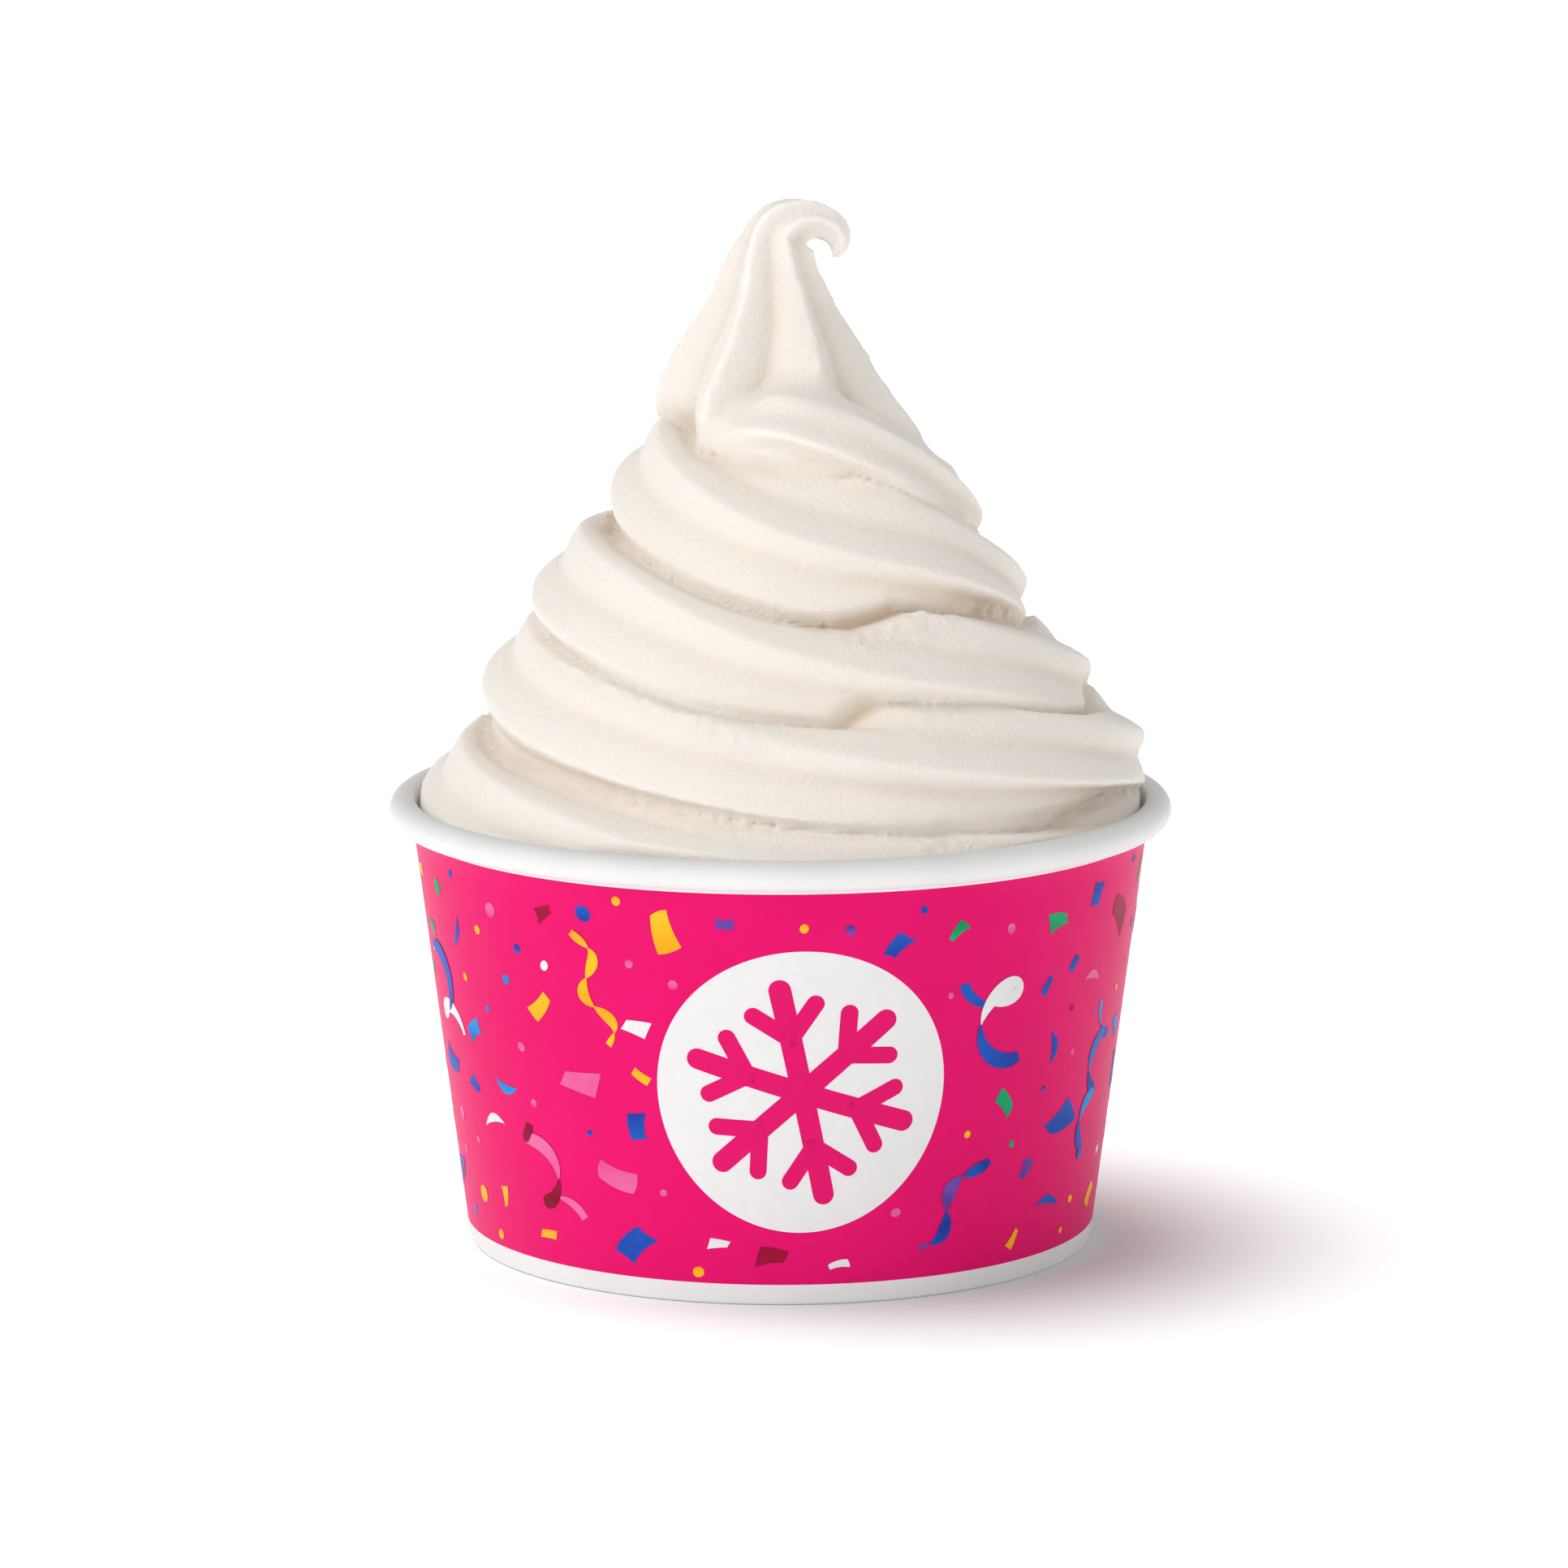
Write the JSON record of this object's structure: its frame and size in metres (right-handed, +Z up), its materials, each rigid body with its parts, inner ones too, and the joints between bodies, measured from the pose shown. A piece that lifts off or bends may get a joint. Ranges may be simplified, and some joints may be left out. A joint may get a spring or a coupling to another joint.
{
  "type": "frozen yogurt cup",
  "caption": "Paper cup with a rolled rim and recessed base, filled with a ridged soft swirl that climbs in turns to a peak with a small hooked tip.",
  "frame": {"origin": "centre of the cup's foot ring, on the ground", "axes": "+Z up along the cup's axis; -Y is the front, the side the picture shows; +X is to the right of the picture"},
  "size_m": [0.115, 0.115, 0.1538],
  "materials": {
    "cup": "coated paper board, printed, with a white rim",
    "yogurt": "frozen yogurt, matt off-white"
  },
  "bodies": {
    "root": {"cup": "cup", "yogurt": "yogurt"}
  },
  "joints": []
}
